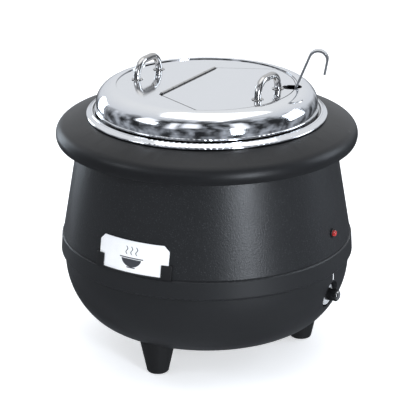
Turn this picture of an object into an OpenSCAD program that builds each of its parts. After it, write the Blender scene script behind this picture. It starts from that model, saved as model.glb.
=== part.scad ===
// Electric soup kettle: a lift-out pot in a water tank, inside a two-part painted housing,
// with a lift-off lid, a hinged half flap, a ladle, a temperature knob and a slide-out label.
// Origin: on the table, under the middle of the pot. +Z is up. -Y is the label side, +X the knob side.

/* [Soup pot] */
// Outside diameter of the pot wall
pot_d = 237; // [190:1:290]
// Height from the pot's floor to the underside of its rim bead
pot_h = 216; // [170:1:262]
// Sheet thickness of the pot
pot_wall = 0.8; // [0.6:0.1:1.2]
// Radius between the pot's floor and wall
pot_corner_r = 14; // [8:1:22]
// Radial width of the pot's rim
rim_w = 16.9; // [14:0.1:20]
// Radius of the rolled bead at the rim's edge
rim_bead_r = 1.6; // [1.2:0.1:2]
// Radial distance from the rim's edge to the top of its ridge
ridge_in = 6.4; // [5.6:0.1:8]
// Height of the ridge's centre over the bead's centre
ridge_up = 3.1; // [2:0.1:4]

/* [Water tank] */
// Gap between pot wall and tank wall
water_side = 4; // [3:0.5:8]
// Gap between pot floor and tank floor
water_under = 8; // [5:0.5:14]
// Sheet thickness of the tank
tank_wall = 0.8; // [0.6:0.1:1.2]
// Radius between the tank's floor and wall
tank_corner_r = 16; // [12:1:24]
// Width of the tank's top flange
tank_flange_w = 9; // [6:0.5:12]

/* [Housing] */
// Height of the housing's underside over the table
foot_h = 33; // [26:0.5:42]
// Space under the tank for the heater
heater_space = 15; // [13:0.5:24]
// Sheet thickness of the bowl
bowl_wall = 1.2; // [0.8:0.1:1.6]
// Sheet thickness of the upper shell
shell_wall = 1; // [0.8:0.1:1.4]
// Radial space between tank and upper shell at the shell's top
neck_space = 19.2; // [16:0.2:30]
// How much the upper shell widens down to the belt, on the radius
shell_flare = 21.7; // [19:0.1:30]
// How far the belt stands out past the upper shell
belt_out = 2.6; // [2:0.1:4]
// Height of the belt
belt_h = 23.4; // [18:0.2:30]
// Step in from the belt to the bowl
bowl_step = 4.3; // [3:0.1:6]
// Radius of the bowl's upper curve
bowl_upper_r = 88; // [80:1:96]
// Radius of the bowl's lower curve
bowl_lower_r = 48; // [42:1:54]
// Slope at which the bowl's two curves meet
bowl_blend_a = 48; // [44:1:52]
// Straight height between the bowl's widest line and the belt
bowl_straight_h = 5.2; // [3:0.2:10]

/* [Collar] */
// How far the collar stands out past the belt
collar_over = 3.2; // [2.8:0.1:8]
// Radius of the collar's outer curve
crown_r = 13; // [10:0.5:15]
// Wall of the moulded collar
collar_wall = 2.5; // [2:0.1:3]
// Height of the collar from its top to its lower lip
collar_drop = 27.4; // [24:0.2:34]
// Height of the collar's inner foot on the tank flange
collar_foot_h = 7.5; // [5:0.5:10]

/* [Lid] */
// Gap between the pot's ridge and the lid's edge
lid_gap = 1.7; // [1:0.1:2.4]
// Sheet thickness of the lid and flap
lid_wall = 1; // [0.8:0.1:1.4]
// Radius of the lid's rolled edge
lid_bead_r = 1.5; // [1.2:0.1:1.8]
// Height of the lid's inset skirt under the rolled edge
lid_skirt_h = 3.4; // [2.5:0.1:5]
// Height of the straight side over the rolled edge
lid_side_h = 4.4; // [3:0.1:10]
// Radius of the lid's shoulder
shoulder_r = 22; // [16:0.5:28]
// Depth of the flat panel below the shoulder's crest
panel_sink = 1; // [0.6:0.1:2]

/* [Flap] */
// Distance of the hinge line behind the middle
hinge_back = 23.6; // [16:0.1:30]
// Width of the flap at the hinge
flap_hinge_w = 121.6; // [90:0.2:130]
// Angle by which each side of the flap spreads
flap_splay = 25; // [20:0.5:28]
// Radial distance from the panel's edge to the flap's edge
flap_inset = 4.1; // [3:0.1:8]
// Gap round the flap
flap_gap = 0.9; // [0.6:0.1:1.4]
// Width of the ledge that the flap rests on
ledge_w = 5; // [3.5:0.5:8]
// Radius of the hinge barrel
barrel_r = 1.7; // [1.5:0.1:2.2]
// Radius of the hinge pin
pin_r = 0.9; // [0.7:0.1:1.1]
// Number of knuckles, both leaves together
knuckles = 5; // [3:2:7]

/* [Handles] */
// Diameter of the handle bar
bar_d = 8; // [6:0.5:10]
// Distance between the two legs
leg_span = 47; // [40:1:56]
// Straight part of each leg
leg_h = 1.2; // [1:0.1:10]
// Centreline radius of the two bends
bend_r = 17.2; // [12:0.1:18]
// Radius of the foot washers
washer_r = 6.6; // [5.6:0.1:8]
// Thickness of the foot washers
washer_t = 0.8; // [0.6:0.1:1.6]
// Radius of the threaded ends
stud_r = 2.5; // [2:0.1:3]

/* [Ladle] */
// Direction of the ladle, counted from the label side towards the knob side
ladle_az = 112; // [104:1:120]
// Lean of the handle from upright
ladle_lean = 21.9; // [18:0.1:23]
// Width of the handle strap
strap_w = 8; // [6:0.5:10]
// Thickness of the handle strap
strap_t = 2.5; // [2:0.1:3]
// Length of straight handle over the lid
ladle_neck = 40; // [30:1:50]
// Centreline radius of the hook
hook_r = 10; // [8:0.5:13]
// Length of the hook's straight end
hook_end = 15; // [10:0.5:22]
// Outside radius of the ladle's spherical bowl
scoop_r = 38; // [32:0.5:42]
// Depth of the ladle's bowl
scoop_depth = 28; // [22:0.5:30]
// Wall of the ladle's bowl
scoop_wall = 1.2; // [0.8:0.1:1.6]

/* [Control] */
// Radius of the graduated dial skirt
dial_r = 13; // [11:0.5:15]
// Radius of the knob
knob_r = 6.7; // [6:0.1:9]
// Length of the knob in front of the dial
knob_l = 13.2; // [10:0.2:14]
// Radius of the thermostat spindle
spindle_r = 3; // [2.5:0.1:3.5]
// Radius of the pilot lamp's lens
lens_r = 3.6; // [2.5:0.1:5]
// Height of the pilot lamp over the belt
lamp_up = 23.6; // [16:0.2:40]

/* [Label] */
// Width of the label card
card_w = 86.6; // [70:0.2:100]
// Height of the label card
card_h = 34.4; // [28:0.2:40]
// Thickness of the label card
card_t = 0.8; // [0.6:0.1:1.2]
// Height of the holder's corner tabs
tab_h = 14; // [10:0.5:18]
// Width by which a tab covers the card
tab_cover = 7.3; // [5:0.1:12]

/* [Feet] */
// Radius of a foot at the housing
foot_top_r = 19; // [16:0.5:22]
// Radius of a foot at the table
foot_low_r = 12.6; // [10:0.1:15]
// Radius of a foot's lower edge
foot_edge_r = 3; // [1:0.5:4]

/* [Cable entry] */
// Radius of the cable gland's bore
gland_bore_r = 3.7; // [3:0.1:4.5]

/* [Hidden] */
$fn = 72;

// Clearances
sit_gap = 0.3;      // between lift-off pieces and what carries them
run_gap = 0.06;     // radial, round pins and spindles
thread_gap = 0.05;  // radial, screws and studs in their holes
far = 400;          // longer than any piece, for cutting shapes

// Levels, from the table up
z_floor = foot_h + bowl_wall;
tank_z = z_floor + heater_space;
pot_z = tank_z + tank_wall + water_under;
collar_top = pot_z + pot_h - sit_gap;
tank_top = collar_top - collar_wall - collar_foot_h;
shell_top = tank_top - tank_wall;
bowl_eq_z = foot_h + bowl_lower_r * (1 - cos(bowl_blend_a)) + bowl_upper_r * cos(bowl_blend_a);
belt_z = bowl_eq_z + bowl_straight_h;
belt_top = belt_z + belt_h;

// Radii, from the pot out
pot_r = pot_d / 2;
tank_in_r = pot_r + water_side;
tank_r = tank_in_r + tank_wall;
shell_top_r = tank_r + neck_space;
shell_low_r = shell_top_r + shell_flare;
belt_r = shell_low_r + belt_out;
bowl_r = belt_r - bowl_step;
collar_r = belt_r + collar_over;
rim_r = pot_r + rim_w;

// The bowl's two curves: centre of the upper, where they meet, centre of the lower
upper_c = [bowl_r - bowl_upper_r, bowl_eq_z];
meet_n = [sin(bowl_blend_a), -cos(bowl_blend_a)];
lower_c = upper_c + (bowl_upper_r - bowl_lower_r) * meet_n;
floor_r = lower_c[0];
bowl_split_z = foot_h + 12;                  // where the bowl's floor ends and its side begins

// Collar: height of the crown's centre under the top, and flat top beside the pot's rim
crown_drop = 20.4;
collar_flat = 2.1;

// Pot rim and lid
bead_z = pot_z + pot_h + rim_bead_r;
ridge_r = rim_r - ridge_in;
ridge_z = bead_z + ridge_up;
seat_t = 1;
seat_top = ridge_z - 0.4;
lid_z = seat_top + sit_gap;
lid_edge_r = ridge_r - rim_bead_r - lid_gap;
lid_bead_c = [lid_edge_r - lid_bead_r, lid_z + lid_skirt_h];
skirt_r = lid_edge_r - 2.8;
dome_r = lid_edge_r - 1.1;
shoulder_z = lid_bead_c[1] + lid_side_h;
panel_r = dome_r - shoulder_r;
panel_top = shoulder_z + shoulder_r - panel_sink;
panel_z = panel_top - lid_wall;
flap_r = panel_r - flap_inset;
flap_z = panel_z + sit_gap / 3;
flap_top = flap_z + lid_wall;

// Hinge
hinge_z = panel_top + 0.5;
leaf_t = 0.8;
leaf_w = 11;
leaf_gap = barrel_r + 0.5;
knuckle_gap = 0.5;
hinge_w = flap_hinge_w - 4;
knuckle_w = hinge_w / knuckles;

// Handles
lid_handle_x = -(panel_r - 25.4);
flap_handle_x = flap_r - 21.3;
nut_h = 4;
nut_r = 4.6;

// Ladle: the handle's local frame starts at the scoop's rim and leans by ladle_lean
cut_r = panel_r - 2.6;                       // where the handle passes the lid
rim_drop = scoop_r - scoop_depth;            // sphere centre over the scoop's rim plane
tongue_t = 2;
tongue_a0 = -asin(rim_drop / scoop_r) + 5;
tongue_a1 = tongue_a0 - 28;
scoop_off = (scoop_r + tongue_t / 2) * cos(tongue_a0);
pot_inside_z = pot_z + pot_wall;
scoop_rise = scoop_r - scoop_off * sin(ladle_lean) - rim_drop * cos(ladle_lean);
ladle_foot_z = pot_inside_z + 0.7 + scoop_rise;
ladle_foot_u = cut_r - tan(ladle_lean) * (panel_top - ladle_foot_z);
straight_l = (panel_top - ladle_foot_z) / cos(ladle_lean) + ladle_neck;
hook_a = 12;
notch_w = 17;

// Control
control_z = belt_z - 26.5;                   // height of the spindle
dial_face = sqrt(pow(bowl_upper_r, 2) - pow(bowl_eq_z - control_z + dial_r, 2)) + upper_c[0];
dial_t = 1.8;
pocket_r = dial_r + 2.5;
pocket_x = dial_face - 4.8;
body_d = 24;
body_w = 34;
thermo_x = pocket_x - bowl_wall - body_d;
bush_r = 4.8;
panel_nut_t = 2.4;
blind_l = 10;                                // thermostat's back wall behind the spindle's hole
knob_x = dial_face;
cap_t = 1;
lamp_z = belt_top + lamp_up;
lamp_tube_r = lens_r + 0.7;
lamp_flange_r = lens_r + 1.6;
lamp_tube_l = 18;
lamp_face = shell_r(lamp_z) + 1.6;
lamp_back = lamp_face - lamp_tube_l;

// Label
holder_t = 0.6;
card_gap = 0.25;
card_off = holder_t + card_gap;
front_off = card_off + card_t + card_gap;
front_t = 0.8;
holder_side = 4;
lip_h = 1.8;
card_z = belt_top + lip_h + sit_gap;
card_cut = 6;

// Feet and screws
foot_circle = floor_r + 5.8;
foot_as = [0, 120, 240];
screw_in = 10;                               // screw towards the middle from the foot's centre
screw_r = 2;
screw_head_r = 3.6;
screw_head_h = 2.4;
screw_l = 14;

// Underside
access_r = 68;
plate_r = 82;
plate_t = 1.2;
stud_main_r = 3;

// Heater
spreader_t = 2;
spreader_z = tank_z - spreader_t;
spreader_r = 96;
coil_r = 72;
coil_tube_r = 4;
coil_z = spreader_z - coil_tube_r;
coil_sweep = 320;
bulb_r = 3;
bulb_l = 50;
bulb_y = -45;
lead_r = 1.1;
lead_ring_r = (tank_r + bowl_r) / 2 - 1;
capillary_r = 0.9;

// Cable entry
gland_z = belt_z - 21;
gland_pocket_r = 14;
gland_x = bowl_r - 10.5;
gland_thread_r = 7.8;
gland_in = 12;                               // thread inside the housing
gland_hex_t = 5;
gland_cap_l = 10;

// Terminal block
term_az = 150;
term_w = 32;
term_h = 20;
term_z = control_z - 6;

black = [0.09, 0.09, 0.1];
steel = [0.8, 0.81, 0.83];

// ---- shared shapes ----

// Direction at angle a from the first axis
function dir(a) = [cos(a), sin(a)];

// Part of a disc between two angles, for outlines built from true arcs
module sector(c, r, a0, a1) {
    intersection() {
        translate(c) circle(r = r);
        polygon([c, c + 2 * r * dir(a0), c + 3 * r * dir((a0 + a1) / 2), c + 2 * r * dir(a1)]);
    }
}

// Turns a piece drawn round +X to azimuth a, counted from -Y towards +X
module at_az(a) {
    rotate([0, 0, a - 90]) children();
}

// Cylinder lying along +X from x = x0, centred on y = 0 and the height z
module along_x(x0, z, r, l) {
    translate([x0, 0, z]) rotate([0, 90, 0]) cylinder(r = r, h = l);
}

// Hexagon of corner radius r along +X
module hex_x(x0, z, r, l) {
    translate([x0, 0, z]) rotate([0, 90, 0]) cylinder(r = r, h = l, $fn = 6);
}

// Straight rod from point p to point q
module rod(p, q, r) {
    v = q - p;
    translate(p)
        rotate([0, acos(v[2] / norm(v)), atan2(v[1], v[0])])
            cylinder(r = r, h = norm(v));
}

// Bent wire or tube through a list of points, with slightly swollen elbows
module wire(pts, r) {
    for (i = [0 : len(pts) - 2]) rod(pts[i], pts[i + 1], r);
    for (i = [1 : len(pts) - 2]) translate(pts[i]) sphere(r = r + 0.12, $fn = 24);
}

// Solid of the bowl inside its outer face, set in by t all round, up to height top
module bowl_solid(t, top) {
    rotate_extrude() bowl_outline(t, top);
}

module bowl_outline(t, top) {
    polygon([[0, foot_h + t], [floor_r, foot_h + t], lower_c, upper_c, [0, bowl_eq_z]]);
    sector(lower_c, bowl_lower_r - t, -90, bowl_blend_a - 90);
    sector(upper_c, bowl_upper_r - t, bowl_blend_a - 90, 0);
    translate([0, bowl_eq_z]) square([bowl_r - t, top - bowl_eq_z]);
}

// Upper shell's radius at height z, on its outer face
function shell_r(z) = shell_low_r - shell_flare * (z - belt_top) / (shell_top - belt_top);

// Ring parallel to the shell's outer face, from offset a to offset b, between two heights
module shell_ring(a, b, z0, z1) {
    rotate_extrude()
        polygon([
            [shell_r(z0) + a, z0], [shell_r(z0) + b, z0],
            [shell_r(z1) + b, z1], [shell_r(z1) + a, z1]
        ]);
}

// Prism over the label side with its outline in x and z
module label_prism(pts) {
    rotate([90, 0, 0]) linear_extrude(far) polygon(pts);
}

// Cup with a round wall and a flat back wall, sunk into the bowl along +X
module pocket_cup(z, r, x) {
    intersection() {
        bowl_solid(0, belt_z);
        along_x(x - bowl_wall, z, r + bowl_wall, far);
    }
}

// ---- housing ----

module rim_collar() {
    c = [collar_r - crown_r, collar_top - crown_drop];
    edge = [rim_r + collar_flat, collar_top];
    v = edge - c;
    a = atan2(v[1], v[0]) - acos(crown_r / norm(v));
    in_r = crown_r - collar_wall;
    lip_z = collar_top - collar_drop;
    under_z = collar_top - collar_wall;
    foot_r = tank_in_r + collar_wall;
    color(black)
        rotate_extrude()
            difference() {
                union() {
                    sector(c, crown_r, -80, a);
                    polygon([
                        [tank_in_r, tank_top], c + crown_r * dir(-80), c, c + crown_r * dir(a),
                        edge, [tank_in_r, collar_top]
                    ]);
                }
                sector(c, in_r, -85, a);
                polygon([
                    [foot_r, lip_z - far], c + in_r * dir(-85), c, c + in_r * dir(a),
                    [edge[0] - collar_wall * tan((90 - a) / 2), under_z], [foot_r, under_z]
                ]);
                translate([0, lip_z - far]) square([far, far]);
                square([foot_r + 1, tank_top]);
            }
}

module upper_shell() {
    seam = 0.8;
    color(black)
        difference() {
            union() {
                shell_ring(-shell_wall, 0, belt_top, shell_top);
                rotate_extrude()
                    translate([tank_r + 0.7, shell_top - shell_wall])
                        square([shell_top_r - tank_r - 1, shell_wall]);
            }
            rotate_extrude()
                translate([shell_low_r - 0.5, belt_top - 1]) square([far, seam + 1]);
            along_x(0, lamp_z, lamp_tube_r + thread_gap, far);
        }
}

// Belt outline: a band with a soft lower edge and a rounded top edge
module belt_outline() {
    low_r = 2.9;
    top_r = 2;
    taper = 1.2;
    in_x = belt_r - 9;
    low_c = [belt_r - low_r, belt_z + low_r + 1];
    top_c = [belt_r - taper - top_r, belt_top - top_r];
    translate(low_c) circle(r = low_r);
    translate(top_c) circle(r = top_r);
    polygon([
        [in_x, belt_z + 1], [low_c[0], belt_z + 1], [belt_r, low_c[1]],
        [top_c[0] + top_r, top_c[1]], [top_c[0], belt_top], [in_x, belt_top]
    ]);
}

// Bowl and belt in one, with their holes and pockets
module whole_bowl() {
    spigot_r = shell_r(belt_top + 10) - shell_wall - 0.1;
    difference() {
        union() {
            difference() {
                union() {
                    bowl_solid(0, belt_z + 2);
                    rotate_extrude() belt_outline();
                    translate([0, 0, belt_top - 2]) cylinder(r = spigot_r, h = 11);
                }
                bowl_solid(bowl_wall, belt_z);
                translate([0, 0, belt_z - 1]) cylinder(r = spigot_r - bowl_wall, h = far);
            }
            pocket_cup(control_z, pocket_r, pocket_x);
            at_az(180) pocket_cup(gland_z, gland_pocket_r, gland_x);
        }
        along_x(pocket_x, control_z, pocket_r, far);
        along_x(pocket_x - 2 * bowl_wall, control_z, bush_r + thread_gap, far);
        at_az(180) {
            along_x(gland_x, gland_z, gland_pocket_r, far);
            along_x(gland_x - 2 * bowl_wall, gland_z, gland_thread_r + thread_gap, far);
        }
        translate([0, 0, foot_h - 1]) cylinder(r = access_r, h = bowl_wall + 2);
        for (a = foot_as) at_az(a)
            translate([foot_circle - screw_in, 0, foot_h - 1])
                cylinder(r = screw_r + thread_gap, h = bowl_wall + 2);
    }
}

// The bowl between two heights
module bowl_band(z0, z1) {
    color(black)
        intersection() {
            whole_bowl();
            translate([-far / 2, -far / 2, z0]) cube([far, far, z1 - z0]);
        }
}

module bowl_floor() {
    bowl_band(0, bowl_split_z);
}

module bowl_side() {
    bowl_band(bowl_split_z, belt_z);
}

module bowl_belt() {
    bowl_band(belt_z, far);
}

module base_plate() {
    color(black)
        translate([0, 0, foot_h - plate_t])
            difference() {
                union() {
                    cylinder(r = plate_r, h = plate_t);
                    translate([0, 0, plate_t])
                        cylinder(r = access_r - 0.5, h = 1);
                }
                translate([0, 0, plate_t]) cylinder(r = access_r - 1.7, h = 2);
                translate([0, 0, -1]) cylinder(r = stud_main_r + thread_gap, h = plate_t + 2);
            }
}

// One foot at azimuth a, cut to the bowl's underside
module foot(a) {
    top_z = foot_h + 14;
    spread = (foot_top_r - foot_low_r) / (foot_h - foot_edge_r);
    edge_c = [foot_low_r - foot_edge_r, foot_edge_r];
    color(black)
        difference() {
            at_az(a) translate([foot_circle, 0, 0])
                rotate_extrude() {
                    sector(edge_c, foot_edge_r, -90, 0);
                    polygon([
                        [0, 0], [edge_c[0], 0], edge_c, [foot_low_r, foot_edge_r],
                        [foot_low_r + spread * (top_z - foot_edge_r), top_z], [0, top_z]
                    ]);
                }
            bowl_solid(0, belt_z);
            at_az(a) translate([foot_circle - screw_in, 0, foot_h - screw_l])
                cylinder(r = screw_r + thread_gap, h = far);
        }
}

module foot_front() {
    foot(foot_as[0]);
}

module foot_right() {
    foot(foot_as[1]);
}

module foot_left() {
    foot(foot_as[2]);
}

module foot_screws() {
    color(steel)
        for (a = foot_as) at_az(a)
            translate([foot_circle - screw_in, 0, 0]) {
                translate([0, 0, foot_h - screw_l + 1]) cylinder(r = screw_r, h = screw_l + bowl_wall);
                translate([0, 0, z_floor])
                    difference() {
                        cylinder(r = screw_head_r, h = screw_head_h);
                        translate([-0.5, -screw_head_r, screw_head_h - 1])
                            cube([1, 2 * screw_head_r, 2]);
                    }
            }
}

// ---- water tank and heater ----

// Deep-drawn vessel of outside radius r from z0 to z1, with floor radius cr, set in by t
module vessel_outline(r, z0, z1, cr, t) {
    translate([0, z0 + t]) square([r - cr, z1 - z0 - t]);
    translate([0, z0 + cr]) square([r - t, z1 - z0 - cr]);
    sector([r - cr, z0 + cr], cr - t, -90, 0);
}

// Dished floor of a deep-drawn vessel, up to where its side begins
module vessel_floor(r, z0, cr, t) {
    rotate_extrude()
        intersection() {
            difference() {
                vessel_outline(r, z0, z0 + 2 * cr, cr, 0);
                vessel_outline(r, z0, z0 + 3 * cr, cr, t);
            }
            square([far, z0 + cr]);
        }
}

module tank_floor() {
    color(steel) vessel_floor(tank_r, tank_z, tank_corner_r, tank_wall);
}

module tank_side() {
    side_z = tank_z + tank_corner_r;
    color(steel)
        rotate_extrude() {
            translate([tank_in_r, side_z]) square([tank_wall, tank_top - side_z]);
            translate([tank_in_r, shell_top]) square([tank_flange_w, tank_wall]);
        }
}

module clamp_stud() {
    low_z = foot_h - plate_t - 8;
    color(steel)
        translate([0, 0, low_z]) cylinder(r = stud_main_r, h = tank_z - low_z);
}

module clamp_washer() {
    t = 1.4;
    color(steel)
        translate([0, 0, foot_h - plate_t - t])
            difference() {
                cylinder(r = 8, h = t);
                translate([0, 0, -1]) cylinder(r = stud_main_r + thread_gap, h = t + 2);
            }
}

module clamp_nut() {
    t = 5;
    color(steel)
        translate([0, 0, foot_h - plate_t - 1.4 - t])
            difference() {
                cylinder(r = 5.8, h = t, $fn = 6);
                translate([0, 0, -1]) cylinder(r = stud_main_r + thread_gap, h = t + 2);
            }
}

module heat_spreader() {
    color("silver")
        translate([0, 0, spreader_z])
            difference() {
                cylinder(r = spreader_r, h = spreader_t);
                translate([0, 0, -1]) cylinder(r = 8, h = spreader_t + 2);
            }
}

// Tubular ring heater, open towards -X, with straight cold ends
module heating_element() {
    end_l = 9;
    half = coil_sweep / 2;
    color("dimgray")
        translate([0, 0, coil_z]) {
            rotate([0, 0, -half])
                rotate_extrude(angle = coil_sweep) translate([coil_r, 0]) circle(r = coil_tube_r);
            for (s = [-1, 1])
                rotate([0, 0, s * half])
                    translate([coil_r, 0, 0])
                        rotate([-s * 90, 0, 0])
                            translate([0, 0, -1]) cylinder(r = 1.6, h = end_l + 1);
        }
}

// Saddle clips that hold the ring heater against the spreader
module element_clips() {
    t = 1.2;
    lug = 6;
    arc_w = 9;
    color("silver")
        for (a = [0, 110, 250])
            rotate([0, 0, a - arc_w / 2])
                rotate_extrude(angle = arc_w)
                    translate([coil_r, coil_z])
                        difference() {
                            union() {
                                circle(r = coil_tube_r + t);
                                translate([-coil_tube_r - lug, coil_tube_r - t])
                                    square([2 * (coil_tube_r + lug), t]);
                            }
                            circle(r = coil_tube_r);
                            translate([-coil_tube_r, 0]) square([2 * coil_tube_r, coil_tube_r]);
                            translate([-far / 8, coil_tube_r]) square([far / 4, far]);
                        }
}

module thermal_limiter() {
    color("ivory")
        translate([28, 26, spreader_z - 6]) {
            cylinder(r = 8, h = 6);
            for (s = [-1, 1]) translate([s * 4 - 1.5, -0.4, -3]) cube([3, 0.8, 3]);
        }
}

// ---- thermostat ----

module thermostat_body() {
    color("lightgray")
        difference() {
            union() {
                translate([thermo_x, -body_w / 2, control_z - body_w / 2])
                    cube([body_d, body_w, body_w]);
                along_x(pocket_x - bowl_wall - 1, control_z, bush_r, bowl_wall + 1 + panel_nut_t);
            }
            along_x(thermo_x + blind_l, control_z, spindle_r + run_gap, far);
        }
}

module thermostat_nut() {
    color(steel)
        difference() {
            hex_x(pocket_x, control_z, bush_r + 3, panel_nut_t);
            along_x(pocket_x - 1, control_z, bush_r + thread_gap, far);
        }
}

// Sensing bulb under the spreader with its capillary up to the thermostat
module thermostat_bulb() {
    bulb_z = spreader_z - bulb_r;
    low_z = z_floor + 3;
    end_x = thermo_x + 6;
    color("peru") {
        translate([-bulb_l / 2, bulb_y, bulb_z]) rotate([0, 90, 0]) cylinder(r = bulb_r, h = bulb_l);
        wire([
            [bulb_l / 2, bulb_y, bulb_z], [bulb_l / 2 + 12, bulb_y + 3, low_z],
            [floor_r - 20, -28, low_z], [tank_r - 6, -12, z_floor + 10],
            [end_x, -8, z_floor + 24], [end_x, -8, control_z - body_w / 2]
        ], capillary_r);
    }
}

module terminal_block() {
    pitch = 9;
    color("ivory")
        at_az(term_az)
            difference() {
                intersection() {
                    translate([tank_r + 5, -term_w / 2, term_z]) cube([far, term_w, term_h]);
                    bowl_solid(bowl_wall, belt_z);
                }
                for (i = [-1 : 1])
                    translate([tank_r + 4, i * pitch - 2.5, term_z + 4]) cube([5, 5, 8]);
            }
}

// Lead run along the housing wall at height z between two azimuths
module ring_lead(z, a0, a1) {
    translate([0, 0, z])
        rotate([0, 0, a0 - 90])
            rotate_extrude(angle = a1 - a0) translate([lead_ring_r, 0]) circle(r = lead_r);
}

// Elbow between two runs of a lead
module lead_elbow(p) {
    translate(p) sphere(r = lead_r + 0.3, $fn = 24);
}

// Point on the lead ring at azimuth a and height z
function ring_pt(a, z) = [lead_ring_r * sin(a), -lead_ring_r * cos(a), z];

// Insulated leads: terminals to thermostat, terminals to heater, thermostat to lamp
module wiring() {
    body_top = control_z + body_w / 2;
    loop_z = body_top + 8;
    term_top = term_z + term_h;
    from_a = [term_az - 3, term_az + 3];
    to_a = [96, 263];
    turn = [-tank_r - 4, 18, coil_z + 4];
    lamp_x = thermo_x + body_d / 2;
    color("firebrick") {
        rod(ring_pt(from_a[0], term_top), ring_pt(from_a[0], loop_z), lead_r);
        lead_elbow(ring_pt(from_a[0], loop_z));
        ring_lead(loop_z, to_a[0], from_a[0]);
        lead_elbow(ring_pt(to_a[0], loop_z));
        rod(ring_pt(to_a[0], body_top), ring_pt(to_a[0], loop_z), lead_r);
    }
    color("royalblue") {
        rod(ring_pt(from_a[1], term_top), ring_pt(from_a[1], loop_z), lead_r);
        lead_elbow(ring_pt(from_a[1], loop_z));
        ring_lead(loop_z, from_a[1], to_a[1]);
        lead_elbow(ring_pt(to_a[1], loop_z));
        rod(ring_pt(to_a[1], loop_z), turn, lead_r);
        lead_elbow(turn);
        rod(turn, [-coil_r - 2, 16.5, coil_z], lead_r);
    }
    color("black") {
        rod([lamp_x, 0, body_top], [lamp_x, 0, lamp_z], lead_r);
        lead_elbow([lamp_x, 0, lamp_z]);
        rod([lamp_x, 0, lamp_z], [lamp_back, 0, lamp_z], lead_r);
    }
}

// ---- cable entry ----

module cable_gland() {
    cap_r = 9;
    color(black)
        at_az(180)
            difference() {
                union() {
                    along_x(gland_x - gland_in, gland_z, gland_thread_r, gland_in + 1);
                    hex_x(gland_x, gland_z, 11.5, gland_hex_t);
                    along_x(gland_x + gland_hex_t, gland_z, cap_r, gland_cap_l - 3);
                    translate([gland_x + gland_hex_t + gland_cap_l - 3, 0, gland_z])
                        rotate([0, 90, 0]) cylinder(r1 = cap_r, r2 = cap_r - 2.5, h = 3);
                }
                along_x(gland_x - gland_in - 1, gland_z, gland_bore_r, far);
            }
}

module gland_nut() {
    t = 4;
    color(black)
        at_az(180)
            difference() {
                hex_x(gland_x - bowl_wall - t, gland_z, 11, t);
                along_x(gland_x - far / 2, gland_z, gland_thread_r + thread_gap, far);
            }
}

// ---- pilot lamp ----

module pilot_lamp_body() {
    color(black)
        difference() {
            union() {
                along_x(lamp_back, lamp_z, lamp_tube_r, lamp_tube_l);
                difference() {
                    along_x(lamp_face - 3, lamp_z, lamp_flange_r, 3);
                    rotate_extrude()
                        polygon([
                            [0, belt_top], [shell_low_r, belt_top], [shell_top_r, shell_top], [0, shell_top]
                        ]);
                }
            }
            along_x(lamp_face - 4, lamp_z, lens_r + thread_gap, far);
        }
}

module pilot_lamp_lens() {
    color("red")
        intersection() {
            union() {
                along_x(lamp_face - 4, lamp_z, lens_r, 4.4);
                translate([lamp_face + 0.4, 0, lamp_z]) sphere(r = lens_r);
            }
            along_x(lamp_face - 4, lamp_z, lens_r + 1, 6.6);
        }
}

module pilot_lamp_nut() {
    t = 3;
    x = shell_r(lamp_z) - shell_wall - 2.2 - t;
    color(steel)
        difference() {
            hex_x(x, lamp_z, lamp_tube_r + 2.6, t);
            along_x(x - 1, lamp_z, lamp_tube_r + thread_gap, t + 2);
        }
}

// ---- label ----

module label_holder() {
    h = lip_h + tab_h;
    half = card_w / 2 + holder_side + sit_gap;
    low = belt_top;
    top = belt_top + h;
    depth = front_off + front_t;
    inner = card_w / 2 + sit_gap;
    color(black) {
        intersection() {
            shell_ring(0, holder_t, low, top);
            label_prism([[-half, low], [half, low], [half, top], [-half, top]]);
        }
        intersection() {
            shell_ring(holder_t, depth, low, top);
            union() {
                label_prism([[-half, low], [half, low], [half, low + lip_h], [-half, low + lip_h]]);
                label_prism([[inner, low], [half, low], [half, top], [inner, top]]);
                label_prism([[-half, low], [-inner, low], [-inner, top], [-half, top]]);
            }
        }
        intersection() {
            shell_ring(front_off, depth, low, top);
            for (s = [-1, 1])
                label_prism([
                    [s * (card_w / 2 - tab_cover), low + lip_h], [s * inner, low + lip_h],
                    [s * inner, top], [s * (card_w / 2 - tab_cover), top]
                ]);
        }
    }
}

module label_card() {
    w = card_w / 2;
    top = card_z + card_h;
    color("white")
        intersection() {
            shell_ring(card_off, card_off + card_t, card_z, top);
            label_prism([
                [-w, card_z], [w, card_z], [w, top - card_cut], [w - card_cut, top],
                [card_cut - w, top], [-w, top - card_cut]
            ]);
        }
}

// ---- temperature control ----

module spindle() {
    x0 = thermo_x + blind_l + 0.5;
    color(steel)
        along_x(x0, control_z, spindle_r, knob_x + knob_l - 3 - x0);
}

module dial_skirt() {
    color(steel)
        difference() {
            union() {
                along_x(dial_face - dial_t, control_z, dial_r, dial_t - 0.6);
                translate([dial_face - 0.6, 0, control_z])
                    rotate([0, 90, 0]) cylinder(r1 = dial_r, r2 = dial_r - 0.9, h = 0.6);
            }
            along_x(dial_face - far / 2, control_z, spindle_r + thread_gap, far);
        }
}

module knob() {
    flutes = 14;
    color("black")
        difference() {
            union() {
                along_x(knob_x, control_z, knob_r + 0.6, 2.4);
                along_x(knob_x, control_z, knob_r, knob_l);
            }
            for (i = [0 : flutes - 1])
                translate([knob_x + 2.4, 0, control_z])
                    rotate([i * 360 / flutes, 0, 0])
                        translate([0, 0, knob_r + 0.35]) rotate([0, 90, 0]) cylinder(r = 0.8, h = far);
            along_x(knob_x - 1, control_z, spindle_r + thread_gap, knob_l - 3 + 1);
        }
}

module knob_cap() {
    color(steel)
        translate([knob_x + knob_l, 0, control_z])
            rotate([0, 90, 0]) cylinder(r1 = knob_r - 1.3, r2 = knob_r - 1.9, h = cap_t);
}

// ---- soup pot ----

module pot_floor() {
    color(steel) vessel_floor(pot_r, pot_z, pot_corner_r, pot_wall);
}

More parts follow.
